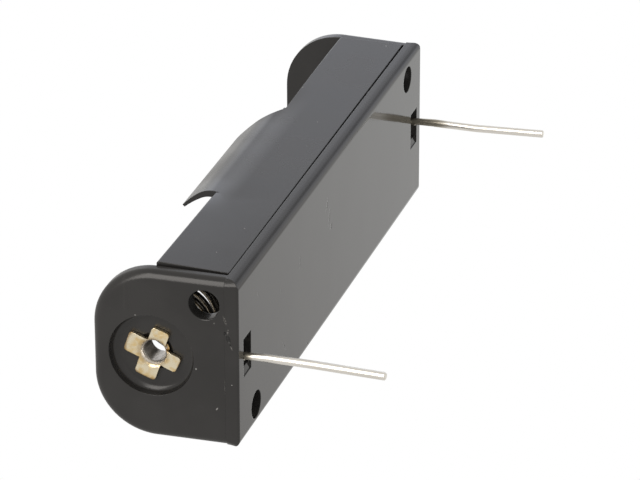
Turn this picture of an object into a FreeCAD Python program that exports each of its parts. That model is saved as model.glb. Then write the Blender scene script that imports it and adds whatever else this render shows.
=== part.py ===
import FreeCAD, Part
import math
import os

# Cylindrical cell holder for a circuit board, in millimetres and degrees.
# The origin is the middle of the face that lies on the board. X runs along the cell, Z up into
# the holder, and the contact pins go down through the board. The holder looks the same when it
# is turned half a turn about Z, so most features are made at the +X end or +Y side and turned.

# Cell that the holder takes
cell_diameter = 14.5
cell_length = 50.5

# Moulded body
cell_side_gap = 0.35
contact_room = 4.3
side_wall = 0.75
side_proud = 0.03
side_flare = 0.3
floor_thickness = 1.1
end_wall = 1.2
end_wall_draft = 2.2
flange_proud = 0.12
flange_height = 1.35
foot_round = 0.88
flange_end_round = 0.25
flange_corner_round = 0.6
edge_round = 0.85
crown_above_axis = 5.44
crown_width = 5.0
side_below_axis = 0.2
side_dip = 0.3
rim_round = 0.2
trough_round = 0.5

# Clips that curl over the cell, one on each side wall
clip_square_end = 11.25
clip_sloped_root = 9.0
clip_slope_run = 4.5
clip_slope_sag = 0.4
clip_root_depth = 0.5
clip_lean = 0.06
clip_bend_above_axis = 0.0
clip_bend_radius = 2.6
clip_bend_angle = 35.0
clip_lip_radius = 9.0
clip_lip_angle = 13.0
clip_thickness = 0.66
clip_lip_thickness = 0.52
clip_tip = 0.28

# Parting seam round each side wall
seam_depth = 0.35
seam_thin = 0.08
seam_wide = 0.22
end_gap_top = 0.12
end_gap_foot = 0.4
end_gap_depth = 0.4

# Holes in the body
recess_diameter = 8.0
recess_depth = 1.0
eyelet_seat = 0.35
exit_hole_diameter = 2.85
exit_hole_floor_gap = 0.7
exit_hole_wall_gap = 0.48
exit_hole_round = 0.12
screw_hole_diameter = 2.7
screw_hole_wall_gap = 0.12
screw_hole_setback = 2.35
slot_length = 2.1
slot_width = 2.5
slot_ramp = 0.64
slot_ramp_depth = 0.28
slot_ramp_step = 0.1
slot_offset = 0.21

# Eyelets that rivet the contacts to the end walls
eyelet_below_axis = 0.1
eyelet_outer = 2.8
eyelet_wall = 0.35
eyelet_fit = 0.05
eyelet_head_diameter = 4.8
eyelet_head_thickness = 0.3
petal_bend_radius = 0.45
petal_droop = 4.0
petal_corner_round = 0.3
# Each petal: direction about the eyelet's axis, reach from the axis, width
near_petals = [(-18.7, 2.4, 1.7), (71.0, 2.7, 2.0), (160.0, 2.65, 2.05), (246.5, 2.55, 1.6)]
far_petals = [(12.0, 2.6, 1.9), (101.0, 2.7, 1.8), (194.0, 2.6, 2.0), (283.0, 2.65, 1.85)]

# Pins, of round wire with an eye round the eyelet
pin_diameter = 0.76
pin_below_board = 13.25
pin_neck_radius = 1.2
pin_eye_sweep = 282.0
pin_bend_drop = 2.0
pin_lower_bend_drop = 6.3
pin_bend_radius = 9.0
pin_flat = 0.1
pin_tip_chamfer = 0.1
# How far each shank stands to +Y at its bends, and its tip from there along X and Y
near_pin_stand = 0.4
near_pin_lean = (0.18, -0.01)
far_pin_stand = 0.38
far_pin_lean = (-0.47, 0.1)

# Coil spring at the negative end and contact plate at the positive end
stack_gap = 0.02
spring_wire = 0.55
spring_base_radius = 4.5
spring_tip_radius = 3.2
spring_free_height = 8.4
spring_start = 128.0
spring_eye_turns = 0.85
spring_arm_turns = 0.5
spring_base_turns = 0.6
spring_coils = 2.6
spring_tip_turns = 0.9
spring_seat_rise = 0.1
spring_points_per_turn = 8
plate_diameter = 8.6
plate_thickness = 0.35
plate_bend = 0.5
plate_notch_gap = 0.15

# Worked out from the values above
axis_height = floor_thickness + cell_diameter / 2
inner_half_width = cell_diameter / 2 + cell_side_gap
side_half_width = inner_half_width + side_wall
body_half_width = side_half_width - side_proud
inner_half_length = (cell_length + contact_room) / 2
wall_half_length = inner_half_length + end_wall
half_length = wall_half_length + flange_proud
contact_height = axis_height - eyelet_below_axis
crown_height = axis_height + crown_above_axis
side_height = axis_height - side_below_axis
end_wall_spread = axis_height * math.tan(math.radians(end_wall_draft))
recess_floor = wall_half_length + end_wall_spread - recess_depth
pin_radius = pin_diameter / 2
pin_x = inner_half_length - stack_gap - pin_radius
slot_x = inner_half_length - slot_length / 2
eyelet_radius = eyelet_outer / 2
eye_radius = eyelet_radius + eyelet_fit + pin_radius
screw_hole_y = inner_half_width - screw_hole_diameter / 2 - screw_hole_wall_gap
screw_hole_x = slot_x - screw_hole_setback
exit_hole_y = inner_half_width - exit_hole_diameter / 2 - exit_hole_wall_gap
exit_hole_z = floor_thickness + exit_hole_diameter / 2 + exit_hole_floor_gap
overlap = 1.0

X_AXIS = FreeCAD.Vector(1, 0, 0)
Y_AXIS = FreeCAD.Vector(0, 1, 0)
Z_AXIS = FreeCAD.Vector(0, 0, 1)


def point(x, y, z):
    return FreeCAD.Vector(x, y, z)


def box(low, high):
    size = high - low
    return Part.makeBox(size.x, size.y, size.z, low)


def turned(shape):
    """The same shape after half a turn about Z."""
    copy = shape.copy()
    copy.rotate(point(0, 0, 0), Z_AXIS, 180)
    return copy


def extruded(edges, direction):
    """A solid from a closed flat outline and the vector that it is pushed along."""
    return Part.Face(Part.Wire(edges)).extrude(direction)


def outline_through(corners):
    """Straight edges from each corner to the next."""
    return [Part.makeLine(start, end) for start, end in zip(corners, corners[1:])]


def closed_outline(corners):
    return outline_through(corners + corners[:1])


def direction_at(angle):
    turn = math.radians(angle)
    return math.cos(turn), math.sin(turn)


def arc_about(centre, radius, start, end, across, up):
    """An arc in the plane of two unit vectors, with angles measured from across towards up."""
    def at(angle):
        along, away = direction_at(angle)
        return centre + across * (radius * along) + up * (radius * away)
    return Part.Arc(at(start), at((start + end) / 2), at(end)).toShape(), at(start), at(end)


def end_wall_solid():
    """The +X end wall: round shoulders, a flat crown, a drafted outer face and rounded edges."""
    half = body_half_width
    crown = crown_width / 2
    radius = half - crown
    centre_z = crown_height - radius
    x = inner_half_length
    right = point(x, crown, centre_z)
    left = point(x, -crown, centre_z)
    right_arc, right_foot, right_top = arc_about(right, radius, 0, 90, Y_AXIS, Z_AXIS)
    left_arc, left_top, left_foot = arc_about(left, radius, 90, 180, Y_AXIS, Z_AXIS)
    low_right = point(x, half, flange_height)
    low_left = point(x, -half, flange_height)
    outline = [
        Part.makeLine(low_left, low_right),
        Part.makeLine(low_right, right_foot),
        right_arc,
        Part.makeLine(right_top, left_top),
        left_arc,
        Part.makeLine(left_foot, low_left),
    ]
    slant = math.tan(math.radians(end_wall_draft))
    reach = end_wall + 2 * crown_height * slant
    wall = extruded(outline, X_AXIS * reach)
    foot_x = wall_half_length
    top_x = wall_half_length + 2 * crown_height * slant
    end_x = inner_half_length + reach + overlap
    beyond = extruded(closed_outline([
        point(foot_x, -half - overlap, 0),
        point(end_x, -half - overlap, 0),
        point(end_x, -half - overlap, 2 * crown_height),
        point(top_x, -half - overlap, 2 * crown_height),
    ]), Y_AXIS * (2 * half + 2 * overlap))
    wall = wall.cut(beyond)
    rounded = []
    for edge in wall.Edges:
        on_outer_face = edge.BoundBox.XMin > wall_half_length - 1e-6
        if on_outer_face and edge.BoundBox.ZMax > flange_height + overlap:
            rounded.append(edge)
    return wall.makeFillet(edge_round, rounded)


def foot_flange():
    """The floor plate, longer than the walls above it: round along its sides and at its corners."""
    low = point(-half_length, -side_half_width, 0)
    high = point(half_length, side_half_width, flange_height)
    plate = box(low, high)
    foot = [edge for edge in plate.Edges if edge.BoundBox.ZMax < flange_height / 2]
    sides = [edge for edge in foot if edge.BoundBox.XLength > overlap]
    ends = [edge for edge in foot if edge.BoundBox.YLength > overlap]
    corners = [edge for edge in plate.Edges if edge.BoundBox.ZLength > overlap]
    round_sided = plate.makeFillet(foot_round, sides)
    round_ended = plate.makeFillet(flange_end_round, ends)
    round_cornered = plate.makeFillet(flange_corner_round, corners)
    return round_sided.common(round_ended).common(round_cornered)


def trough_profile(x, flares):
    """Section across the floor and both side walls, with round inner corners and rims.

    flares holds how far each side wall's rim stands out, first on the +Y side.
    """
    edges = []
    for side, flare in zip((1, -1), flares):
        across = Y_AXIS * side
        outer = point(x, 0, 0) + across * side_half_width
        inner = point(x, 0, 0) + across * inner_half_width
        corner = inner - across * trough_round + Z_AXIS * (floor_thickness + trough_round)
        floor_arc, wall_start, floor_start = arc_about(corner, trough_round, 0, -90, across, Z_AXIS)
        outer_rim = outer + across * (flare - rim_round) + Z_AXIS * (side_height - rim_round)
        inner_rim = inner + across * (flare + rim_round) + Z_AXIS * (side_height - rim_round)
        outer_arc, outer_low, outer_high = arc_about(outer_rim, rim_round, 0, 90, across, Z_AXIS)
        inner_arc, inner_high, inner_low = arc_about(inner_rim, rim_round, 90, 180, across, Z_AXIS)
        foot = outer + Z_AXIS * flange_height
        middle_low = point(x, 0, flange_height / 2)
        foot_inner = inner + Z_AXIS * (flange_height / 2)
        middle_high = point(x, 0, floor_thickness)
        half = [
            Part.makeLine(middle_low, foot_inner),
            Part.makeLine(foot_inner, foot),
            Part.makeLine(foot, outer_low),
            outer_arc,
            Part.makeLine(outer_high, inner_high),
            inner_arc,
            Part.makeLine(inner_low, wall_start),
            floor_arc,
            Part.makeLine(floor_start, middle_high),
        ]
        edges += half if side > 0 else half[::-1]
    return Part.Wire(edges)


def trough_solid():
    """The floor and side walls, with each wall's free end flared from its clip's square end on."""
    sections = [
        trough_profile(-inner_half_length, (0, side_flare)),
        trough_profile(-clip_square_end, (0, 0)),
        trough_profile(clip_square_end, (0, 0)),
        trough_profile(inner_half_length, (side_flare, 0)),
    ]
    return Part.makeLoft(sections, True, True)


def clip_solid():
    """The +Y clip: a tab that bends in over the cell in two arcs and thins towards its lip."""
    start_x = -clip_sloped_root
    bend_z = axis_height + clip_bend_above_axis
    root_z = side_height - clip_root_depth
    top = point(start_x, side_half_width + clip_lean, bend_z)
    bend_centre = top - Y_AXIS * clip_bend_radius
    bend_arc, bend_start, bend_end = arc_about(
        bend_centre, clip_bend_radius, 0, clip_bend_angle, Y_AXIS, Z_AXIS)
    bend_out, bend_up = direction_at(clip_bend_angle)
    toward_centre = Y_AXIS * -bend_out - Z_AXIS * bend_up
    lip_centre = bend_end + toward_centre * clip_lip_radius
    lip_arc, lip_start, lip_end = arc_about(
        lip_centre, clip_lip_radius, clip_bend_angle, clip_bend_angle + clip_lip_angle, Y_AXIS, Z_AXIS)
    half_out, half_up = direction_at(clip_bend_angle / 2)
    half_reach = clip_bend_radius - (clip_thickness + clip_lip_thickness) / 2
    inner_start = bend_start - Y_AXIS * clip_thickness
    inner_half = bend_centre + Y_AXIS * (half_reach * half_out) + Z_AXIS * (half_reach * half_up)
    inner_end = bend_end + toward_centre * clip_lip_thickness
    late_out, late_up = direction_at(clip_bend_angle + clip_lip_angle / 2)
    late_reach = clip_lip_radius - (clip_lip_thickness + clip_tip) / 2
    inner_late = lip_centre + Y_AXIS * (late_reach * late_out) + Z_AXIS * (late_reach * late_up)
    tip_out, tip_up = direction_at(clip_bend_angle + clip_lip_angle)
    inner_tip = lip_end - Y_AXIS * (clip_tip * tip_out) - Z_AXIS * (clip_tip * tip_up)
    root_outer = point(start_x, side_half_width, root_z)
    root_inner = point(start_x, inner_half_width, root_z)
    outline = [
        Part.makeLine(root_inner, root_outer),
        Part.makeLine(root_outer, bend_start),
        bend_arc,
        lip_arc,
        Part.makeLine(lip_end, inner_tip),
        Part.Arc(inner_tip, inner_late, inner_end).toShape(),
        Part.Arc(inner_end, inner_half, inner_start).toShape(),
        Part.makeLine(inner_start, root_inner),
    ]
    tab = extruded(outline, X_AXIS * (clip_square_end + clip_sloped_root))
    return tab.common(clip_side_view(root_z, lip_end.z))


def clip_side_view(root_z, lip_z):
    """The clip's outline from the side: one end square, the other a hollow curve up from the rim."""
    y = inner_half_width - cell_diameter / 2
    top_z = lip_z + overlap
    foot = point(-clip_sloped_root, y, side_height - side_dip)
    crest = point(-clip_sloped_root + clip_slope_run, y, lip_z)
    chord = crest - foot
    across = point(chord.z, 0, -chord.x).normalize()
    hollow = (foot + crest) * 0.5 + across * clip_slope_sag
    edges = outline_through([
        crest,
        point(crest.x, y, top_z),
        point(clip_square_end, y, top_z),
        point(clip_square_end, y, root_z),
        point(-clip_sloped_root, y, root_z),
        foot,
    ])
    edges.append(Part.Arc(foot, hollow, crest).toShape())
    return extruded(edges, Y_AXIS * cell_diameter)


def side_dip_cutter():
    """Lowers the +Y side wall's rim gently from the far end wall to the clip's sloped end."""
    low = side_height - side_dip
    y = inner_half_width - overlap
    corners = [
        point(-inner_half_length, y, side_height),
        point(-clip_sloped_root, y, low),
        point(-clip_sloped_root, y, side_height + overlap),
        point(-inner_half_length, y, side_height + overlap),
    ]
    return extruded(closed_outline(corners), Y_AXIS * (side_wall + 2 * overlap))


def seam_cutters():
    """The parting groove above the flange and the wedge gap at the wall's +X end."""
    outer_y = side_half_width + overlap
    groove_y = side_half_width - seam_depth
    gap_y = side_half_width - end_gap_depth
    z = flange_height
    foot_x = inner_half_length - end_gap_foot
    top_x = inner_half_length - end_gap_top
    groove = [
        point(-inner_half_length, groove_y, z),
        point(inner_half_length, groove_y, z),
        point(inner_half_length, groove_y, z + seam_thin),
        point(-inner_half_length, groove_y, z + seam_wide),
    ]
    gap = [
        point(foot_x, gap_y, z),
        point(inner_half_length, gap_y, z),
        point(inner_half_length, gap_y, side_height + overlap),
        point(top_x, gap_y, side_height + overlap),
    ]
    return [
        extruded(closed_outline(groove), Y_AXIS * (outer_y - groove_y)),
        extruded(closed_outline(gap), Y_AXIS * (outer_y - gap_y)),
    ]


def slot_cutter():
    """The +X pin slot: straight through the floor, with a ramp at each end of its width."""
    half = slot_width / 2
    start_x = slot_x - slot_length / 2
    through = box(
        point(start_x, slot_offset - half, -overlap),
        point(start_x + slot_length, slot_offset + half, floor_thickness),
    )
    corners = [
        point(start_x, slot_offset - half - slot_ramp, 0),
        point(start_x, slot_offset + half + slot_ramp, 0),
        point(start_x, slot_offset + half + slot_ramp, slot_ramp_step),
        point(start_x, slot_offset + half, slot_ramp_depth),
        point(start_x, slot_offset - half, slot_ramp_depth),
        point(start_x, slot_offset - half - slot_ramp, slot_ramp_step),
    ]
    return through.fuse(extruded(closed_outline(corners), X_AXIS * slot_length))


def end_hole_cutters():
    """At the +X end: the eyelet's recess, bore and seat, the wire exit and one screw hole."""
    recess = Part.makeCylinder(
        recess_diameter / 2, recess_depth + overlap, point(recess_floor, 0, contact_height), X_AXIS)
    bore = Part.makeCylinder(
        eyelet_radius + eyelet_fit, end_wall + end_wall_spread + overlap,
        point(inner_half_length - overlap / 2, 0, contact_height), X_AXIS)
    seat = Part.makeCone(
        eyelet_radius + eyelet_fit, eyelet_radius + eyelet_fit + eyelet_seat, eyelet_seat,
        point(recess_floor - eyelet_seat, 0, contact_height), X_AXIS)
    wire_exit = Part.makeCylinder(
        exit_hole_diameter / 2, end_wall + 2 * overlap,
        point(inner_half_length - overlap / 2, exit_hole_y, exit_hole_z), X_AXIS)
    screw_hole = Part.makeCylinder(
        screw_hole_diameter / 2, floor_thickness + 2 * overlap,
        point(screw_hole_x, -screw_hole_y, -overlap), Z_AXIS)
    return [recess, bore, seat, wire_exit, screw_hole]


def holder_body():
    """The moulded body: floor flange, two end walls, two side walls and their clips."""
    wall = end_wall_solid()
    clip = clip_solid()
    body = foot_flange()
    above_floor = box(
        point(-inner_half_length, -inner_half_width, floor_thickness),
        point(inner_half_length, inner_half_width, crown_height + overlap),
    )
    body = body.cut(above_floor)
    trough = trough_solid().cut([side_dip_cutter(), turned(side_dip_cutter())])
    body = body.fuse([trough, wall, turned(wall), clip, turned(clip)])
    cutters = seam_cutters() + [slot_cutter()] + end_hole_cutters()
    body = body.cut(cutters + [turned(cutter) for cutter in cutters]).removeSplitter()
    return body.makeFillet(exit_hole_round, exit_hole_rims(body))


def exit_hole_rims(body):
    """The edges where the two wire exit holes meet the outer end faces."""
    centre = point(wall_half_length, exit_hole_y, exit_hole_z)
    rims = []
    for edge in body.Edges:
        middle = edge.BoundBox.Center
        outside = abs(middle.x) > inner_half_length + end_wall / 2
        beside = abs(abs(middle.y) - centre.y) < exit_hole_round
        level = abs(middle.z - centre.z) < exit_hole_round
        across_hole = abs(edge.BoundBox.YLength - exit_hole_diameter) < exit_hole_round
        if outside and beside and level and across_hole:
            rims.append(edge)
    return rims


def revolved_about_eyelet(edges):
    face = Part.Face(Part.Wire(edges))
    return face.revolve(point(0, 0, contact_height), X_AXIS, 360)


def eyelet(stack, petals):
    """A split eyelet at the +X end: a head over the stack, a tube and petals folded outwards."""
    head_x = inner_half_length - stack
    bore = eyelet_radius - eyelet_wall
    run = max(reach for direction, reach, width in petals) - eyelet_radius
    petal_back = recess_floor + stack_gap + run * math.sin(math.radians(petal_droop))
    bend_x = petal_back + eyelet_wall / 2 - petal_bend_radius
    tube_length = bend_x - head_x
    centre = point(0, 0, contact_height)
    head = Part.makeCylinder(
        eyelet_head_diameter / 2, eyelet_head_thickness,
        centre + X_AXIS * (head_x - eyelet_head_thickness), X_AXIS)
    tube = Part.makeCylinder(eyelet_radius, tube_length, centre + X_AXIS * head_x, X_AXIS)
    hole = Part.makeCylinder(
        bore, tube_length + eyelet_head_thickness + overlap,
        centre + X_AXIS * (head_x - eyelet_head_thickness - overlap / 2), X_AXIS)
    rim = head.makeFillet(eyelet_head_thickness / 3, [
        edge for edge in head.Edges
        if edge.BoundBox.XMax < head_x - eyelet_head_thickness / 2])
    body = rim.fuse(tube).cut(hole)
    return body.fuse([petal(bend_x, *values) for values in petals]).removeSplitter()


def petal(bend_x, direction, reach, width):
    """One petal: a band that bends outwards from the tube's end and runs on to a square tip."""
    middle = eyelet_radius - eyelet_wall / 2
    turn = 90 + petal_droop
    centre = point(bend_x, 0, contact_height) + Z_AXIS * (middle + petal_bend_radius)
    large = petal_bend_radius + eyelet_wall / 2
    small = petal_bend_radius - eyelet_wall / 2
    down = Z_AXIS * -1
    upper, upper_start, upper_end = arc_about(centre, large, 0, turn, down, X_AXIS)
    lower, lower_end, lower_start = arc_about(centre, small, turn, 0, down, X_AXIS)
    droop = math.radians(petal_droop)
    along = Z_AXIS * math.cos(droop) - X_AXIS * math.sin(droop)
    long_enough = 2 * reach
    outline = [
        upper,
        Part.makeLine(upper_end, upper_end + along * long_enough),
        Part.makeLine(upper_end + along * long_enough, lower_end + along * long_enough),
        Part.makeLine(lower_end + along * long_enough, lower_end),
        lower,
        Part.makeLine(lower_start, upper_start),
    ]
    ring = revolved_about_eyelet(outline)
    strip = box(
        point(bend_x - overlap, -width / 2, contact_height),
        point(bend_x + 2 * overlap, width / 2, contact_height + reach),
    )
    strip = strip.makeFillet(petal_corner_round, [
        edge for edge in strip.Edges
        if edge.BoundBox.XLength > overlap and edge.BoundBox.ZMin > contact_height])
    band = ring.common(strip)
    band.rotate(point(0, 0, contact_height), X_AXIS, direction - 90)
    return band


def rounded_path(points, radii):
    """Straight runs through the points, with a tangent arc of its own radius at each inner one."""
    edges = []
    last = points[0]
    for index in range(1, len(points) - 1):
        corner = points[index]
        back = (points[index - 1] - corner).normalize()
        on = (points[index + 1] - corner).normalize()
        half_turn = (math.pi - back.getAngle(on)) / 2
        reach = radii[index - 1] * math.tan(half_turn)
        start = corner + back * reach
        end = corner + on * reach
        inward = (back + on).normalize()
        middle = corner + inward * (radii[index - 1] / math.cos(half_turn) - radii[index - 1])
        edges.append(Part.makeLine(last, start))
        edges.append(Part.Arc(start, middle, end).toShape())
        last = end
    edges.append(Part.makeLine(last, points[-1]))
    return edges


def swept(edges, radius):
    """Round wire of one radius along a smooth path."""
    path = Part.Wire(edges)
    start = path.OrderedVertexes[0].Point
    first = path.OrderedEdges[0]
    heading = first.tangentAt(first.FirstParameter)
    ring = Part.Wire(Part.makeCircle(radius, start, heading))
    return path.makePipeShell([ring], True, True)


def pin(stand, lean, flat_side):
    """A pin at the +X end: an eye round the eyelet, a neck and a shank through its slot.

    stand is how far the shank's two bends lie to +Y, lean how far the tip stands from the lower
    one, and flat_side is 1 or -1 for the side in Y where the shank is pressed flat.
    """
    centre = point(pin_x, 0, contact_height)
    neck = pin_neck_radius
    drop = math.sqrt((eye_radius + neck) ** 2 - neck ** 2)
    neck_centre = centre + Y_AXIS * neck - Z_AXIS * drop
    meet = math.degrees(math.atan2(drop, neck))
    neck_arc, neck_start, neck_end = arc_about(neck_centre, neck, 180, 180 - meet, Y_AXIS, Z_AXIS)
    eye_arcs = []
    steps = 3
    for step in range(steps):
        start = -meet + pin_eye_sweep * step / steps
        end = -meet + pin_eye_sweep * (step + 1) / steps
        eye_arcs.append(arc_about(centre, eye_radius, start, end, Y_AXIS, Z_AXIS)[0])
    slot_height = contact_height - drop - neck
    entry = point(pin_x, 0, slot_height)
    bend = point(pin_x, stand, -pin_bend_drop)
    lower_bend = point(pin_x, stand, -pin_lower_bend_drop)
    tip = point(pin_x + lean[0], stand + lean[1], -pin_below_board)
    shank = rounded_path([neck_start, entry, bend, lower_bend, tip], [pin_bend_radius] * 3)
    shank.reverse()
    path = Part.__sortEdges__(shank + [neck_arc] + eye_arcs)
    wire = swept(path, pin_radius)
    tip_rim = [edge for edge in wire.Edges if edge.BoundBox.ZMax < -pin_below_board + pin_radius]
    wire = wire.makeChamfer(pin_tip_chamfer, tip_rim)
    near_y, far_y = sorted([flat_side * (pin_radius - pin_flat), flat_side * pin_diameter])
    flat = box(
        point(pin_x - pin_diameter, stand + near_y, -pin_bend_drop),
        point(pin_x + pin_diameter, stand + far_y, 0),
    )
    return wire.cut(flat)


def negative_spring():
    """One wire: an eye under the eyelet's head, an arm out to a wide coil, then a narrowing cone."""
    wire_radius = spring_wire / 2
    rest_x = inner_half_length - pin_diameter - 2 * stack_gap - wire_radius
    eye = eyelet_radius + eyelet_fit + wire_radius
    tip_x = inner_half_length - spring_free_height + wire_radius
    # Each stretch: turns, radius at its end, place along X at its end
    stretches = [
        (spring_eye_turns, eye, rest_x),
        (spring_arm_turns, spring_base_radius, rest_x),
        (spring_base_turns, spring_base_radius, rest_x - spring_seat_rise),
        (spring_coils, spring_tip_radius, tip_x + spring_seat_rise),
        (spring_tip_turns, spring_tip_radius, tip_x),
    ]

    def wire_point(turns, radius, x):
        across, up = direction_at(spring_start + 360 * turns)
        return point(x, radius * across, contact_height + radius * up)

    turns = 0
    radius = eye
    x = rest_x
    through = []
    for length, end_radius, end_x in stretches:
        count = round(length * spring_points_per_turn)
        for step in range(count):
            share = step / count
            ease = share * share * (3 - 2 * share)
            through.append(wire_point(
                turns + length * share,
                radius + (end_radius - radius) * ease,
                x + (end_x - x) * share))
        turns += length
        radius = end_radius
        x = end_x
    through.append(wire_point(turns, radius, x))
    curve = Part.BSplineCurve()
    curve.interpolate(through)
    return swept([curve.toShape()], wire_radius)


def positive_contact():
    """A pressed cup plate at the +X end, over the pin's eye, with its rim back to the wall."""
    front = inner_half_length - pin_diameter - 2 * stack_gap - plate_thickness
    back = inner_half_length - stack_gap
    centre = point(0, 0, contact_height)
    outer = Part.makeCylinder(plate_diameter / 2, back - front, centre + X_AXIS * front, X_AXIS)
    front_edges = [edge for edge in outer.Edges if edge.BoundBox.XMax < front + 1e-6]
    outer = outer.makeFillet(plate_bend, front_edges)
    hollow = Part.makeCylinder(
        plate_diameter / 2 - plate_thickness, back - front,
        centre + X_AXIS * (front + plate_thickness), X_AXIS)
    hole = Part.makeCylinder(
        eyelet_radius + eyelet_fit, back - front, centre + X_AXIS * front, X_AXIS)
    notch_half = pin_radius + plate_notch_gap
    notch = box(
        point(front + plate_thickness, -notch_half, contact_height - plate_diameter),
        point(back + overlap, notch_half, contact_height - plate_diameter / 4),
    )
    return outer.cut([hollow, hole, notch])


def write(name, shape):
    if not shape.isValid():
        raise ValueError(name + " is not a valid shape")
    solids = shape.Solids
    if len(solids) != 1:
        raise ValueError(name + " has " + str(len(solids)) + " solids")
    solids[0].exportStep(os.path.join("parts", name + ".step"))
    size = shape.BoundBox
    print(name, round(shape.Volume, 2), [round(value, 2) for value in (
        size.XMin, size.XMax, size.YMin, size.YMax, size.ZMin, size.ZMax)])


def main():
    os.makedirs("parts", exist_ok=True)
    spring_stack = pin_diameter + spring_wire + 3 * stack_gap
    plate_stack = pin_diameter + plate_thickness + 3 * stack_gap
    write("holder_body", holder_body())
    write("negative_eyelet", eyelet(spring_stack, near_petals))
    write("negative_pin", pin(near_pin_stand, near_pin_lean, -1))
    write("negative_spring", negative_spring())
    write("positive_eyelet", turned(eyelet(plate_stack, far_petals)))
    far_lean_turned = [-shift for shift in far_pin_lean]
    write("positive_pin", turned(pin(-far_pin_stand, far_lean_turned, 1)))
    write("positive_contact", turned(positive_contact()))


main()
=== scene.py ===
import math
import bmesh
import bpy
from mathutils import Matrix, Vector


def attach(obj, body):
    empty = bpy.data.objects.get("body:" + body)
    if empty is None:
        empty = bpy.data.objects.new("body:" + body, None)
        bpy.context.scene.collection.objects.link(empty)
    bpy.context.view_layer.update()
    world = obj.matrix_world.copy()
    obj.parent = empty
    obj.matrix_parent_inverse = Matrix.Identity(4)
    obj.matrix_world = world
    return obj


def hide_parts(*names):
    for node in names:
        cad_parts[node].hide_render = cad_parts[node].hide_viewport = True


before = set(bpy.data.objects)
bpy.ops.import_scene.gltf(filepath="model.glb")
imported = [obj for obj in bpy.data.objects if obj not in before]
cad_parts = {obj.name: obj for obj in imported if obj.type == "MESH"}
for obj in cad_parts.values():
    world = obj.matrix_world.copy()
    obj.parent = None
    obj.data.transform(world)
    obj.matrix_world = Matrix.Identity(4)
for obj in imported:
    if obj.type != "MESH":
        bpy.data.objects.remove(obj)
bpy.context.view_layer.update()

mm = 0.001
weldDistance = 0.001 * mm
axisHeight = 8.25 * mm    # both eyelets' axis above the board face
bevelSamples = 6
scene = bpy.context.scene
print("loaded", len(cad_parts), "nodes")


# Small helpers for node trees

def newMaterial(name):
    material = bpy.data.materials.new(name)
    material.use_nodes = True
    material.node_tree.nodes.clear()
    return material, material.node_tree


def addNode(tree, kind, inputs, **settings):
    node = tree.nodes.new(kind)
    for key, value in settings.items():
        setattr(node, key, value)
    for key, value in inputs.items():
        if isinstance(value, bpy.types.NodeSocket):
            tree.links.new(value, node.inputs[key])
        else:
            node.inputs[key].default_value = value
    return node


# One Math node for each further term, so a sum or a product can take several
def calc(tree, operation, first, *others):
    kind = "ShaderNodeMath"
    for other in others or (0.0,):
        first = addNode(tree, kind, {0: first, 1: other}, operation=operation).outputs[0]
    return first


# A smooth step: low where value is at start, high where it is at end
def rise(tree, value, start, end, low=0.0, high=1.0):
    return addNode(tree, "ShaderNodeMapRange", {
        "Value": value, "From Min": start, "From Max": end, "To Min": low, "To Max": high,
    }, interpolation_type="SMOOTHSTEP").outputs["Result"]


def mix(tree, share, first, second):
    return addNode(tree, "ShaderNodeMix", {0: share, 2: first, 3: second}).outputs[0]


def blend(tree, share, first, second):
    node = addNode(tree, "ShaderNodeMix", {0: share}, data_type="RGBA")
    for index, colour in ((6, first), (7, second)):
        if isinstance(colour, bpy.types.NodeSocket):
            tree.links.new(colour, node.inputs[index])
        else:
            node.inputs[index].default_value = (*colour, 1)
    return node.outputs[2]


def objectPlace(tree):
    return addNode(tree, "ShaderNodeTexCoord", {}).outputs["Object"]


def axes(tree, vector):
    return addNode(tree, "ShaderNodeSeparateXYZ", {0: vector}).outputs


def length(tree, vector):
    return addNode(tree, "ShaderNodeVectorMath", {0: vector}, operation="LENGTH").outputs["Value"]


# Noise from 0 to 1 with features of about the given size, drawn out along each axis
def noise(tree, place, size, detail=2.0, stretch=(1, 1, 1)):
    scale = [1 / part for part in stretch]
    spread = addNode(tree, "ShaderNodeMapping", {"Vector": place, "Scale": scale})
    return addNode(tree, "ShaderNodeTexNoise", {
        "Vector": spread.outputs[0], "Scale": 1 / size, "Detail": detail,
    }).outputs["Fac"]


# 1 inside an ellipsoid with the given half sizes, falling smoothly to 0 at its skin
def spot(tree, place, centre, half, turn, soft):
    local = addNode(tree, "ShaderNodeMapping", {
        "Vector": place, "Location": [part * mm for part in centre],
        "Rotation": [math.radians(part) for part in turn], "Scale": [part * mm for part in half],
    }, vector_type="TEXTURE")
    return rise(tree, length(tree, local.outputs[0]), 1.0, 1.0 - soft)


def spots(tree, place, marks, soft):
    return calc(tree, "MAXIMUM", *[spot(tree, place, *mark, soft) for mark in marks])


# How far a point lies from the line through both eyelets
def axisDistance(tree, place):
    parts = axes(tree, place)
    height = calc(tree, "SUBTRACT", parts["Z"], axisHeight)
    square = calc(tree, "ADD", calc(tree, "POWER", parts["Y"], 2.0), calc(tree, "POWER", height, 2.0))
    return calc(tree, "SQRT", square)


def patchyRoughness(tree, patch, finish):
    return rise(tree, patch, *finish["roughSpan"], finish["smoothest"], finish["roughest"])


# The surface with its edges softened and a height in metres laid over it
def roundedNormal(tree, edgeRadius, height):
    soft = addNode(tree, "ShaderNodeBevel", {"Radius": edgeRadius}, samples=bevelSamples)
    return addNode(tree, "ShaderNodeBump", {
        "Height": height, "Distance": 1.0, "Strength": 1.0, "Normal": soft.outputs[0]}).outputs[0]


def closeMaterial(tree, inputs):
    shader = addNode(tree, "ShaderNodeBsdfPrincipled", inputs)
    addNode(tree, "ShaderNodeOutputMaterial", {"Surface": shader.outputs[0]})


# Helpers for the pieces

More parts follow.
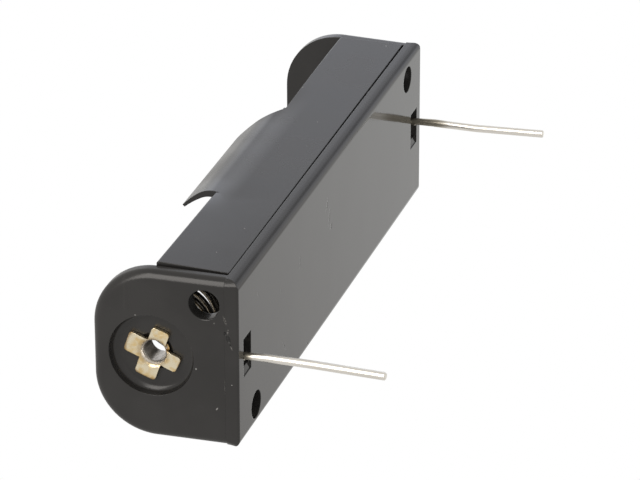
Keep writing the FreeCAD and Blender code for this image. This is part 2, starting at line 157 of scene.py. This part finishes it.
# A merged copy of a CAD node, smooth apart from edges sharper than the angle
def smoothCopy(nodeName, newName, angle, rework=None):
    shape = bmesh.new()
    shape.from_mesh(bpy.data.objects[nodeName].data)
    bmesh.ops.remove_doubles(shape, verts=shape.verts, dist=weldDistance)
    if rework:
        rework(shape)
    shape.verts.index_update()
    places = [vertex.co.copy() for vertex in shape.verts]
    faces = [[vertex.index for vertex in face.verts] for face in shape.faces]
    shape.free()
    mesh = bpy.data.meshes.new(newName)
    mesh.from_pydata(places, [], faces)
    mesh.shade_smooth()
    mesh.set_sharp_from_angle(angle=math.radians(angle))
    piece = bpy.data.objects.new(newName, mesh)
    scene.collection.objects.link(piece)
    weigh = piece.modifiers.new("faceWeights", "WEIGHTED_NORMAL")
    weigh.keep_sharp = True
    weigh.weight = 100    # the largest faces decide the shading
    return piece


# Give a finished piece its material and let it stand in for its CAD node
def settle(piece, nodeName, material):
    piece.data.materials.clear()
    piece.data.materials.append(material)
    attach(piece, "root")
    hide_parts(nodeName)


# Moulded body: gloss black plastic with a little waviness, dust, scuffs and gate marks, the marks'
# dents darkened with painted shade

moulding = {
    "sharpAngle": 28,
    "colour": (0.0195, 0.0188, 0.0182),
    "paleColour": (0.0255, 0.0246, 0.0238),
    "paleSpan": (0.35, 0.7),
    "ior": 1.5,
    "smoothest": 0.07,
    "roughest": 0.14,
    "roughSpan": (0.3, 0.75),
    "sideRoughness": 0.15,    # added away from the board face
    "sideSpan": (0.02 * mm, 0.5 * mm),
    "edgeRadius": 0.1 * mm,
    "grainSize": 0.12 * mm,
    "wanderSize": 6.0 * mm,
    "waveHeight": 0.012 * mm,
    "waveSize": 9.0 * mm,
    "peelHeight": 0.0011 * mm,
    "peelSize": 0.7 * mm,
    # Scuffs, specks and pits, the pits being real dents that also carry painted shade
    "scuffColour": (0.23, 0.22, 0.21),
    "scuffRoughness": 0.42,
    "scuffSoftness": 0.8,
    "scuffGrain": (0.36, 0.6),
    "speckSoftness": 0.6,
    # Painted shade: the pits' dents are painted near-black, darker than the plastic itself
    "pitShadeColour": (0.004, 0.004, 0.004),
    "pitSoftness": 0.6,
    "pitDepth": 0.12 * mm,
    "pitFloor": 0.2,
    # Dust and fine scratches
    "dustColour": (0.24, 0.235, 0.23),
    "dustSpacing": 1.5 * mm,
    "dustShare": (0.93, 0.95),
    "dustReach": (0.045, 0.025),
    "dustLevel": 0.35,
    "hairSize": 0.16 * mm,
    "hairStretch": (14, 60, 9),
    "hairSpan": (0.74, 0.78),
    "hairLevel": 0.04,
    # The recesses' lips and round corners
    "lipHeight": 0.03 * mm,
    "lipSpan": (4.05 * mm, 5.6 * mm),
    "recessRadius": 4.0 * mm,
    "recessFloor": 27.92 * mm,
    "recessRound": 0.65 * mm,
    "recessSteps": 6,
    "recessTolerance": 0.02 * mm,
    # The clips' roots, along X and up Z
    "clipLean": 0.42 * mm,
    "leanStart": (-15.0 * mm, -5.0 * mm),
    "leanEnd": (16.0 * mm, 8.0 * mm),
    "leanHeights": (6.0 * mm, 10.5 * mm),
    # The foot's corners
    "footTop": 1.35 * mm,
    "cornerCentre": (27.8 * mm, 7.45 * mm),
    "cornerReach": 0.885 * mm,
    "cornerSpan": (28.12 * mm, 28.35 * mm),
}

# Each mark is a place, half sizes and a turn about X, Y and Z, in millimetres and degrees
scuffs = (
    ((28.64, 4.45, 1.30), (0.3, 0.55, 0.16), (18, 0, 0)),
    ((28.63, 3.35, 1.02), (0.3, 0.34, 0.13), (-14, 0, 0)),
    ((28.62, 1.80, 0.70), (0.3, 0.30, 0.12), (25, 0, 0)),
    ((28.69, 4.05, 2.30), (0.3, 0.16, 0.10), (0, 0, 0)),
    ((2.62, 4.25, 0.0), (0.17, 0.80, 0.3), (0, 0, 24)),
    ((1.95, 2.65, 0.0), (0.14, 1.10, 0.3), (0, 0, 20)),
    ((1.35, 1.50, 0.0), (0.30, 0.38, 0.3), (0, 0, 50)),
    ((10.93, 2.26, 0.0), (0.09, 0.90, 0.3), (0, 0, 8)),
    ((15.80, -4.20, 0.0), (0.06, 1.00, 0.3), (0, 0, -38)),
    ((8.90, -7.30, 0.0), (0.06, 0.60, 0.3), (0, 0, -50)),
    ((23.18, 4.57, 0.0), (0.05, 0.32, 0.3), (0, 0, 0)),
    ((-1.14, 8.35, 3.11), (0.06, 0.3, 0.22), (0, 20, 0)),
    ((28.65, -2.20, 1.38), (0.3, 0.95, 0.035), (0, 0, 0)),
)
specks = (
    ((28.68, -4.58, 2.13), (0.3, 0.20, 0.08), (-35, 0, 0)),
    ((28.97, 3.88, 9.66), (0.3, 0.09, 0.07), (0, 0, 0)),
    ((28.76, -0.79, 4.04), (0.3, 0.12, 0.10), (0, 0, 0)),
    ((28.63, -1.94, 0.69), (0.3, 0.06, 0.10), (0, 0, 0)),
    ((-14.24, 8.35, 7.82), (0.14, 0.3, 0.07), (0, 0, 0)),
    ((-26.59, 8.35, 3.03), (0.12, 0.3, 0.12), (0, 0, 0)),
    ((17.95, 8.35, 3.00), (0.10, 0.3, 0.07), (0, 0, 0)),
    ((23.47, 8.35, 3.79), (0.08, 0.3, 0.08), (0, 0, 0)),
    ((-6.70, 8.35, 3.89), (0.07, 0.3, 0.05), (0, 0, 0)),
)
pitsWithPaintedShade = (
    ((28.64, 2.62, 0.98), (0.3, 0.46, 0.25), (20, 0, 0)),
    ((28.64, 3.12, 1.28), (0.3, 0.24, 0.14), (0, 0, 0)),
    ((28.62, 2.05, 0.78), (0.3, 0.12, 0.08), (0, 0, 0)),
    ((16.70, 1.90, 0.0), (0.05, 0.34, 0.3), (0, 0, 0)),
)


# A fleck in about one cell in seventeen
def mouldingDust(tree, place):
    scale = 1 / moulding["dustSpacing"]
    cells = addNode(tree, "ShaderNodeTexVoronoi", {"Vector": place, "Scale": scale}).outputs
    chosen = addNode(tree, "ShaderNodeSeparateColor", {0: cells["Color"]}).outputs["Red"]
    few = rise(tree, chosen, *moulding["dustShare"])
    fleck = rise(tree, cells["Distance"], *moulding["dustReach"])
    return calc(tree, "MULTIPLY", few, fleck, moulding["dustLevel"])


# Waves, orange peel and the recesses' lips, less the clips' lean and the dents
def mouldingHeight(tree, place, grain, marked):
    wave = noise(tree, place, moulding["waveSize"], 1.0)
    peel = noise(tree, place, moulding["peelSize"])
    height = calc(
        tree, "ADD", calc(tree, "MULTIPLY", wave, moulding["waveHeight"]),
        calc(tree, "MULTIPLY", peel, moulding["peelHeight"]),
        rise(tree, axisDistance(tree, place), *moulding["lipSpan"], moulding["lipHeight"], 0.0))
    # The clips' roots lean in a little before their bend starts
    parts = axes(tree, place)
    beside = calc(tree, "MULTIPLY", rise(tree, parts["X"], *moulding["leanStart"]),
                  rise(tree, parts["X"], *moulding["leanEnd"]))
    upward = rise(tree, parts["Z"], *moulding["leanHeights"])
    lean = calc(tree, "MULTIPLY", calc(tree, "MULTIPLY", upward, beside), moulding["clipLean"])
    dents = calc(tree, "MULTIPLY", marked, moulding["pitDepth"],
                 calc(tree, "ADD", grain, moulding["pitFloor"]))
    return calc(tree, "SUBTRACT", height, lean, dents)


def mouldingMaterial():
    material, tree = newMaterial("glossBlackMoulding")
    place = objectPlace(tree)
    grain = noise(tree, place, moulding["grainSize"], 3.0)
    wander = noise(tree, place, moulding["wanderSize"], 3.0)

    broken = rise(tree, grain, *moulding["scuffGrain"])
    scuffed = calc(tree, "MULTIPLY", spots(tree, place, scuffs, moulding["scuffSoftness"]), broken)
    speckled = spots(tree, place, specks, moulding["speckSoftness"])
    pittedWithPaintedShade = spots(tree, place, pitsWithPaintedShade, moulding["pitSoftness"])
    dusty = calc(tree, "MAXIMUM", mouldingDust(tree, place), speckled)
    hairs = noise(tree, place, moulding["hairSize"], 1.0, moulding["hairStretch"])
    hairline = rise(tree, hairs, *moulding["hairSpan"], 0.0, moulding["hairLevel"])

    pale = rise(tree, wander, *moulding["paleSpan"])
    colour = blend(tree, pale, moulding["colour"], moulding["paleColour"])
    colour = blend(tree, hairline, colour, moulding["scuffColour"])
    colour = blend(tree, scuffed, colour, moulding["scuffColour"])
    colour = blend(tree, dusty, colour, moulding["dustColour"])
    # Painted shade: each pit is painted near-black on top of its bump depth
    colour = blend(tree, pittedWithPaintedShade, colour, moulding["pitShadeColour"])

    side = rise(tree, axes(tree, place)["Z"], *moulding["sideSpan"], 0.0, moulding["sideRoughness"])
    rough = calc(tree, "ADD", patchyRoughness(tree, wander, moulding), side)
    worn = calc(tree, "MAXIMUM", scuffed, dusty)
    worn = calc(tree, "MULTIPLY", worn, moulding["scuffRoughness"])

    height = mouldingHeight(tree, place, grain, calc(tree, "MAXIMUM", pittedWithPaintedShade, scuffed))
    closeMaterial(tree, {
        "Base Color": colour, "Roughness": calc(tree, "MAXIMUM", rough, worn),
        "IOR": moulding["ior"],
        "Normal": roundedNormal(tree, moulding["edgeRadius"], height)})
    return material


# The mould leaves a round corner between each recess's wall and its floor
def roundRecesses(shape):
    near = moulding["recessTolerance"]

    def inCorner(vertex):
        reach = math.hypot(vertex.co.y, vertex.co.z - axisHeight)
        onWall = abs(reach - moulding["recessRadius"]) < near
        return onWall and abs(abs(vertex.co.x) - moulding["recessFloor"]) < near

    corner = [edge for edge in shape.edges if all(inCorner(vertex) for vertex in edge.verts)]
    bmesh.ops.bevel(
        shape, geom=corner, offset=moulding["recessRound"], offset_type="OFFSET",
        segments=moulding["recessSteps"], profile=0.5, affect="EDGES", clamp_overlap=False)


# At each corner the foot's top edge runs smoothly into the end wall's rounder corner
def softenFootCorners(shape):
    centreX, centreY = moulding["cornerCentre"]
    start, full = moulding["cornerSpan"]
    for vertex in shape.verts:
        x, y, z = vertex.co
        alongX, alongY = abs(x) - centreX, abs(y) - centreY
        reach = math.hypot(alongX, alongY)
        if abs(z - moulding["footTop"]) > weldDistance or min(alongX, alongY) < 0:
            continue
        if abs(x) > start and reach > moulding["cornerReach"]:
            share = min(1, (abs(x) - start) / (full - start))
            scale = 1 + share * (moulding["cornerReach"] / reach - 1)
            vertex.co.x = math.copysign(centreX + alongX * scale, x)
            vertex.co.y = math.copysign(centreY + alongY * scale, y)


def finishBody(shape):
    roundRecesses(shape)
    softenFootCorners(shape)


body = smoothCopy("holder_body", "mouldedBody", moulding["sharpAngle"], finishBody)
settle(body, "holder_body", mouldingMaterial())
print("moulded body done")


# Eyelets: thin brass with a pale plating that has worn and browned at the petals' rims

eyelets = {
    "sharpAngle": 35,
    "plating": (1.0, 0.90, 0.67),
    "brass": (0.88, 0.68, 0.36),
    "brassSpan": (0.4, 0.62),
    "tarnish": (0.34, 0.20, 0.07),
    "raggedness": 0.25 * mm,
    # The petals' tips, the mouth and the bore, by distance from the axis
    "tipSpan": (2.55 * mm, 2.85 * mm),
    "tipLevel": 0.75,
    "mouthSpan": (1.8 * mm, 1.5 * mm),
    "mouthLevel": 0.35,
    "boreSpan": (1.3 * mm, 1.15 * mm),
    "bore": (0.92, 0.89, 0.84),
    "boreRoughness": 0.3,
    "smoothest": 0.18,
    "roughest": 0.42,
    "roughSpan": (0.3, 0.7),
    "patchSize": 0.8 * mm,
    "fineSize": 0.1 * mm,
    "edgeRadius": 0.09 * mm,
    "dimpleHeight": 0.06 * mm,
    "dimpleSize": 0.5 * mm,
}


def eyeletMaterial():
    material, tree = newMaterial("platedBrass")
    place = objectPlace(tree)
    dimple = noise(tree, place, eyelets["dimpleSize"])
    patch = noise(tree, place, eyelets["patchSize"], 3.0)
    fine = noise(tree, place, eyelets["fineSize"])
    reach = axisDistance(tree, place)
    ragged = calc(tree, "ADD", reach, calc(tree, "MULTIPLY", fine, eyelets["raggedness"]))
    tip = rise(tree, ragged, *eyelets["tipSpan"], 0.0, eyelets["tipLevel"])
    mouth = calc(tree, "MULTIPLY", rise(tree, ragged, *eyelets["mouthSpan"]), eyelets["mouthLevel"])
    inside = rise(tree, reach, *eyelets["boreSpan"])
    bare = rise(tree, patch, *eyelets["brassSpan"])
    colour = blend(tree, bare, eyelets["plating"], eyelets["brass"])
    colour = blend(tree, calc(tree, "MAXIMUM", tip, mouth), colour, eyelets["tarnish"])
    colour = blend(tree, inside, colour, eyelets["bore"])
    rough = patchyRoughness(tree, patch, eyelets)
    height = calc(tree, "MULTIPLY", dimple, eyelets["dimpleHeight"],
                  calc(tree, "SUBTRACT", 1.0, inside))
    closeMaterial(tree, {
        "Base Color": colour, "Metallic": 1.0,
        "Roughness": mix(tree, inside, rough, eyelets["boreRoughness"]),
        "Normal": roundedNormal(tree, eyelets["edgeRadius"], height)})
    return material


brass = eyeletMaterial()
for nodeName, newName in (
        ("negative_eyelet", "eyeletSpringEnd"), ("positive_eyelet", "eyeletPlateEnd")):
    eyelet = smoothCopy(nodeName, newName, eyelets["sharpAngle"])
    settle(eyelet, nodeName, brass)
print("eyelets done")


# Pins: tinned wire, drawn lengthwise, darkened where it leaves the body by a painted reflection of
# the black body

pins = {
    "sharpAngle": 35,
    "tin": (0.985, 0.965, 0.91),
    "dull": (0.90, 0.86, 0.78),
    "dullSpan": (0.35, 0.75),
    # Painted reflection: a darker tin colour near the body stands in for the black body's reflection
    # in the wire
    "darkReflection": (0.42, 0.385, 0.305),
    "darkReflectionLevel": 0.92,
    "springEndDarkReflection": (-0.3 * mm, -1.2 * mm),    # full above the first height, gone below the next
    "plateEndDarkReflection": (-2.2 * mm, -3.8 * mm),
    "raggedness": 0.8 * mm,
    "smoothest": 0.26,
    "roughest": 0.36,
    "roughSpan": (0.3, 0.7),
    "patchSize": 1.2 * mm,
    "streakSize": 0.09 * mm,
    "streakStretch": (1, 1, 30),
    "streakHeight": 0.0007 * mm,
}


def pinMaterial(name, darkReflectionHeights):
    material, tree = newMaterial(name)
    place = objectPlace(tree)
    streak = noise(tree, place, pins["streakSize"], stretch=pins["streakStretch"])
    patch = noise(tree, place, pins["patchSize"])
    offset = calc(tree, "MULTIPLY", patch, pins["raggedness"])
    ragged = calc(tree, "ADD", axes(tree, place)["Z"], offset)
    full, gone = (height + pins["raggedness"] / 2 for height in darkReflectionHeights)
    # Painted dark reflection of the body, full near the body and gone further down the pin
    darkReflectionShare = rise(tree, ragged, gone, full, 0.0, pins["darkReflectionLevel"])
    colour = blend(tree, rise(tree, streak, *pins["dullSpan"]), pins["tin"], pins["dull"])
    height = calc(tree, "MULTIPLY", streak, pins["streakHeight"])
    bump = addNode(tree, "ShaderNodeBump", {"Height": height, "Distance": 1.0})
    closeMaterial(tree, {
        "Base Color": blend(tree, darkReflectionShare, colour, pins["darkReflection"]), "Metallic": 1.0,
        "Roughness": patchyRoughness(tree, patch, pins), "Normal": bump.outputs[0]})
    return material


for nodeName, newName, materialName, darkReflection in (
        ("negative_pin", "pinSpringEnd", "tinnedWireSpringEnd", pins["springEndDarkReflection"]),
        ("positive_pin", "pinPlateEnd", "tinnedWirePlateEnd", pins["plateEndDarkReflection"])):
    pin = smoothCopy(nodeName, newName, pins["sharpAngle"])
    settle(pin, nodeName, pinMaterial(materialName, darkReflection))
print("pins done")


# Contact plate: nickel plated, brushed, with a ring worn by the cell's tip

plate = {
    "sharpAngle": 30,
    "nickel": (0.66, 0.63, 0.57),
    "worn": (0.74, 0.66, 0.50),
    "ringInside": (2.0 * mm, 2.4 * mm),
    "ringOutside": (3.3 * mm, 2.9 * mm),
    "smoothest": 0.18,
    "roughest": 0.36,
    "roughSpan": (0.2, 0.8),
    "patchSize": 1.5 * mm,
    "edgeRadius": 0.1 * mm,
    "brushSize": 0.08 * mm,
    "brushStretch": (1, 20, 1),
    "brushHeight": 0.004 * mm,
}


def plateMaterial():
    material, tree = newMaterial("nickelPlate")
    place = objectPlace(tree)
    brush = noise(tree, place, plate["brushSize"], stretch=plate["brushStretch"])
    patch = noise(tree, place, plate["patchSize"], 3.0)
    reach = axisDistance(tree, place)
    worn = calc(tree, "MULTIPLY", rise(tree, reach, *plate["ringInside"]),
                rise(tree, reach, *plate["ringOutside"]), patch)
    height = calc(tree, "MULTIPLY", brush, plate["brushHeight"])
    closeMaterial(tree, {
        "Base Color": blend(tree, worn, plate["nickel"], plate["worn"]), "Metallic": 1.0,
        "Roughness": patchyRoughness(tree, patch, plate),
        "Normal": roundedNormal(tree, plate["edgeRadius"], height)})
    return material


contact = smoothCopy("positive_contact", "contactPlate", plate["sharpAngle"])
settle(contact, "positive_contact", plateMaterial())
print("contact plate done")


# Coil spring: one wire whose radius and place along X follow its turns, coloured dark as painted
# shade

spring = {
    "wireRadius": 0.275 * mm,
    "eyeRadius": 1.725 * mm,
    "baseRadius": 4.5 * mm,
    "tipRadius": 3.2 * mm,
    "restPlace": 26.325 * mm,
    "seatRise": 0.1 * mm,
    "tipPlace": 19.275 * mm,
    "startAngle": 128.0,
    "eyeTurns": 0.85,
    "armTurns": 0.5,
    "baseTurns": 0.6,
    "coils": 4.0,
    "tipTurns": 0.9,
    "stepsPerTurn": 56,
    "wireSides": 14,
    "sharpAngle": 50,
    # Both steel tones are far darker than bare steel: painted shade standing in for the shade inside
    # the holder
    "shadeDarkSteel": (0.27, 0.255, 0.23),
    "dull": (0.15, 0.138, 0.12),
    "dullSpan": (0.35, 0.7),
    "smoothest": 0.14,
    "roughest": 0.3,
    "roughSpan": (0.3, 0.7),
    "patchSize": 0.5 * mm,
}
treeInputs = (
    "wireRadius", "eyeRadius", "baseRadius", "tipRadius", "restPlace", "seatRise", "tipPlace")


def springMaterial():
    material, tree = newMaterial("shadeDarkSpringSteel")
    patch = noise(tree, objectPlace(tree), spring["patchSize"], 3.0)
    dull = rise(tree, patch, *spring["dullSpan"])
    closeMaterial(tree, {
        # Painted shade: the wire's colour is kept dark
        "Base Color": blend(tree, dull, spring["shadeDarkSteel"], spring["dull"]), "Metallic": 1.0,
        "Roughness": patchyRoughness(tree, patch, spring)})
    return material


# A Geometry Nodes tree that winds the wire, with its sizes as named inputs
def springTree(material):
    tree = bpy.data.node_groups.new("coilSpringTree", "GeometryNodeTree")
    tree.interface.new_socket("Geometry", in_out="OUTPUT", socket_type="NodeSocketGeometry")
    for name in treeInputs:
        tree.interface.new_socket(name, in_out="INPUT", socket_type="NodeSocketFloat")
    sizes = addNode(tree, "NodeGroupInput", {}).outputs

    armStart = spring["eyeTurns"]
    baseStart = armStart + spring["armTurns"]
    coilStart = baseStart + spring["baseTurns"]
    tipStart = coilStart + spring["coils"]
    allTurns = tipStart + spring["tipTurns"]
    steps = round(allTurns * spring["stepsPerTurn"])

    line = addNode(tree, "GeometryNodeMeshLine", {"Count": steps + 1})
    index = addNode(tree, "GeometryNodeInputIndex", {}).outputs[0]
    turns = calc(tree, "MULTIPLY", index, allTurns / steps)

    # How much of the way from one turn to another each point has come
    def share(start, end, kind="LINEAR"):
        return addNode(tree, "ShaderNodeMapRange", {
            "Value": turns, "From Min": start, "From Max": end,
        }, interpolation_type=kind).outputs["Result"]

    widen = calc(tree, "MULTIPLY", calc(tree, "SUBTRACT", sizes["baseRadius"], sizes["eyeRadius"]),
                 share(armStart, baseStart, "SMOOTHSTEP"))
    narrow = calc(tree, "MULTIPLY", calc(tree, "SUBTRACT", sizes["baseRadius"], sizes["tipRadius"]),
                  share(coilStart, tipStart, "SMOOTHSTEP"))
    radius = calc(tree, "SUBTRACT", calc(tree, "ADD", sizes["eyeRadius"], widen), narrow)

    seat = calc(tree, "MULTIPLY", sizes["seatRise"], share(baseStart, coilStart))
    lift = calc(tree, "SUBTRACT", sizes["restPlace"], sizes["tipPlace"],
                calc(tree, "MULTIPLY", sizes["seatRise"], 2.0))
    climb = calc(tree, "MULTIPLY", lift, share(coilStart, tipStart))
    last = calc(tree, "MULTIPLY", sizes["seatRise"], share(tipStart, allTurns))
    x = calc(tree, "SUBTRACT", sizes["restPlace"], calc(tree, "ADD", seat, climb, last))

    startAngle = math.radians(spring["startAngle"])
    angle = calc(tree, "ADD", calc(tree, "MULTIPLY", turns, math.tau), startAngle)
    y = calc(tree, "MULTIPLY", radius, calc(tree, "COSINE", angle))
    z = calc(tree, "ADD", calc(tree, "MULTIPLY", radius, calc(tree, "SINE", angle)), axisHeight)
    point = addNode(tree, "ShaderNodeCombineXYZ", {0: x, 1: y, 2: z}).outputs[0]

    placed = addNode(tree, "GeometryNodeSetPosition", {
        "Geometry": line.outputs[0], "Position": point}).outputs[0]
    curve = addNode(tree, "GeometryNodeMeshToCurve", {0: placed}).outputs[0]
    ring = addNode(tree, "GeometryNodeCurvePrimitiveCircle", {
        "Resolution": spring["wireSides"], "Radius": sizes["wireRadius"]}).outputs[0]
    wire = addNode(tree, "GeometryNodeCurveToMesh", {
        "Curve": curve, "Profile Curve": ring, "Fill Caps": True})
    smooth = addNode(tree, "GeometryNodeSetShadeSmooth", {0: wire.outputs[0]}).outputs[0]
    real = addNode(tree, "GeometryNodeRealizeInstances", {0: smooth}).outputs[0]
    coloured = addNode(tree, "GeometryNodeSetMaterial", {
        "Geometry": real, "Material": material}).outputs[0]
    addNode(tree, "NodeGroupOutput", {0: coloured})
    return tree


def windSpring(material):
    maker = bpy.data.objects.new("coilSpring", bpy.data.meshes.new("coilSpringSeed"))
    scene.collection.objects.link(maker)
    modifier = maker.modifiers.new("wind", "NODES")
    modifier.node_group = springTree(material)
    for item in modifier.node_group.interface.items_tree:
        if item.in_out == "INPUT":
            modifier[item.identifier] = spring[item.name]
    ready = maker.evaluated_get(bpy.context.evaluated_depsgraph_get())
    mesh = bpy.data.meshes.new_from_object(ready)
    maker.modifiers.clear()
    maker.data = mesh
    shape = bmesh.new()
    shape.from_mesh(mesh)
    bmesh.ops.recalc_face_normals(shape, faces=shape.faces)
    shape.to_mesh(mesh)
    shape.free()
    mesh.shade_smooth()
    mesh.set_sharp_from_angle(angle=math.radians(spring["sharpAngle"]))
    return maker


shadeDarkSteel = springMaterial()
settle(windSpring(shadeDarkSteel), "negative_spring", shadeDarkSteel)
print("coil spring done")


# Floor, light and camera

studio = {
    "floorHeight": -13.5 * mm,
    "floorReach": 900.0 * mm,
    "floorColour": (0.86, 0.86, 0.86, 1),
    "fadeSpan": (500.0 * mm, 120.0 * mm),
    "white": (1.0, 1.0, 1.0),
    "coolTint": (0.99, 1.03, 1.14),
    "warmTint": (1.0, 1.0, 0.985),
    "coolSpan": (-0.25, 0.3),
    "roomTint": (1.0, 0.975, 0.945),
    "roomLevel": 0.62,
    "diffuseLevel": 0.8,
    "behindSpan": (-0.80, -0.90),
    "patchSpan": (0.26, 0.05),
    "glowToward": (-0.86, 0.22, 0.42),
    "glowLevel": 0.45,
    "shadeToward": (-0.86, 0.36, -0.33),
    "shadeLevel": -0.42,
    "lampToward": (0.78, 0.56, 0.33),
    "lampDistance": 600.0 * mm,
    "lampTall": 560.0 * mm,
    "lampWide": 300.0 * mm,
    "lampLevel": 3.3,
    "lampTint": (1.0, 0.955, 0.91),
}


# Pale and matt from above for the camera, clear from below and for every other ray
def floorMaterial():
    material, tree = newMaterial("paleFloor")
    pale = addNode(tree, "ShaderNodeBsdfDiffuse", {"Color": studio["floorColour"]}).outputs[0]
    clear = addNode(tree, "ShaderNodeBsdfTransparent", {}).outputs[0]
    fromCamera = addNode(tree, "ShaderNodeLightPath", {}).outputs["Is Camera Ray"]
    below = addNode(tree, "ShaderNodeNewGeometry", {}).outputs["Backfacing"]
    near = rise(tree, length(tree, objectPlace(tree)), *studio["fadeSpan"])
    shown = calc(tree, "MULTIPLY", fromCamera, near, calc(tree, "SUBTRACT", 1.0, below))
    surface = addNode(tree, "ShaderNodeMixShader", {0: shown, 1: clear, 2: pale})
    addNode(tree, "ShaderNodeOutputMaterial", {"Surface": surface.outputs[0]})
    return material


def layFloor():
    reach, height = studio["floorReach"], studio["floorHeight"]
    corners = [(x * reach, y * reach, height) for x, y in ((-1, -1), (1, -1), (1, 1), (-1, 1))]
    mesh = bpy.data.meshes.new("floor")
    mesh.from_pydata(corners, [], [(0, 1, 2, 3)])
    mesh.materials.append(floorMaterial())
    floor = bpy.data.objects.new("floor", mesh)
    scene.collection.objects.link(floor)


# The camera sees white. Gloss sees white behind the holder and a plainer room round the rest,
# with one patch a little brighter and one a little darker.
def lightRoom():
    world = bpy.data.worlds.new("studioRoom")
    world.use_nodes = True
    scene.world = world
    tree = world.node_tree
    tree.nodes.clear()
    path = addNode(tree, "ShaderNodeLightPath", {}).outputs
    heading = addNode(tree, "ShaderNodeTexCoord", {}).outputs["Generated"]
    parts = axes(tree, heading)
    behind = rise(tree, parts["X"], *studio["behindSpan"])

    def patch(centre, level):
        away = addNode(tree, "ShaderNodeVectorMath", {
            0: heading, 1: Vector(centre).normalized()}, operation="DISTANCE").outputs["Value"]
        return rise(tree, away, *studio["patchSpan"], 0.0, level)

    backdrop = calc(tree, "MULTIPLY", behind, 1.0 - studio["roomLevel"])
    glow = patch(studio["glowToward"], studio["glowLevel"])
    shade = patch(studio["shadeToward"], studio["shadeLevel"])
    glossLevel = calc(tree, "ADD", studio["roomLevel"], backdrop, glow, shade)
    gloss = calc(tree, "MAXIMUM", path["Is Glossy Ray"], path["Is Transmission Ray"])
    roomLevel = mix(tree, gloss, studio["diffuseLevel"], glossLevel)
    level = mix(tree, path["Is Camera Ray"], roomLevel, 1.0)

    cool = rise(tree, parts["Y"], *studio["coolSpan"])
    backdropTint = blend(tree, cool, studio["warmTint"], studio["coolTint"])
    tint = blend(tree, behind, studio["roomTint"], backdropTint)
    tint = blend(tree, path["Is Camera Ray"], tint, studio["white"])
    light = addNode(tree, "ShaderNodeBackground", {"Color": tint, "Strength": level})
    addNode(tree, "ShaderNodeOutputWorld", {"Surface": light.outputs[0]})


# One tall soft box beside the camera, whose face is evenly lit
def hangLamp():
    data = bpy.data.lights.new("softBox", "AREA")
    data.shape = "RECTANGLE"
    data.size = studio["lampWide"]
    data.size_y = studio["lampTall"]
    data.color = studio["lampTint"]
    data.energy = studio["lampLevel"] * math.pi * data.size * data.size_y
    lamp = bpy.data.objects.new("softBox", data)
    scene.collection.objects.link(lamp)
    away = Vector(studio["lampToward"]).normalized()
    tall = Vector((0, 1, 0)) - away * away.y
    tall.normalize()
    turn = Matrix((tall.cross(away), tall, away)).transposed().to_4x4()
    lamp.matrix_world = Matrix.Translation(away * studio["lampDistance"]) @ turn
    lamp.visible_camera = False


layFloor()
lightRoom()
hangLamp()

shot = {
    "place": (327.07 * mm, 164.74 * mm, -102.82 * mm),
    "right": (-0.30321, -0.00165, -0.95292),
    "down": (0.41439, -0.90072, -0.13029),
    "lens": 224.31,
    "sensor": 36.0,
    "clipStart": 10.0 * mm,
    "clipEnd": 20000.0 * mm,
}


def placeCamera():
    right = Vector(shot["right"]).normalized()
    up = -Vector(shot["down"]).normalized()
    data = bpy.data.cameras.new("photoView")
    data.lens = shot["lens"]
    data.sensor_width = shot["sensor"]
    data.clip_start = shot["clipStart"]
    data.clip_end = shot["clipEnd"]
    camera = bpy.data.objects.new("photoView", data)
    scene.collection.objects.link(camera)
    turn = Matrix((right, up, right.cross(up))).transposed().to_4x4()
    camera.matrix_world = Matrix.Translation(shot["place"]) @ turn
    scene.camera = camera


placeCamera()
scene.view_settings.view_transform = "Standard"
print("studio done")
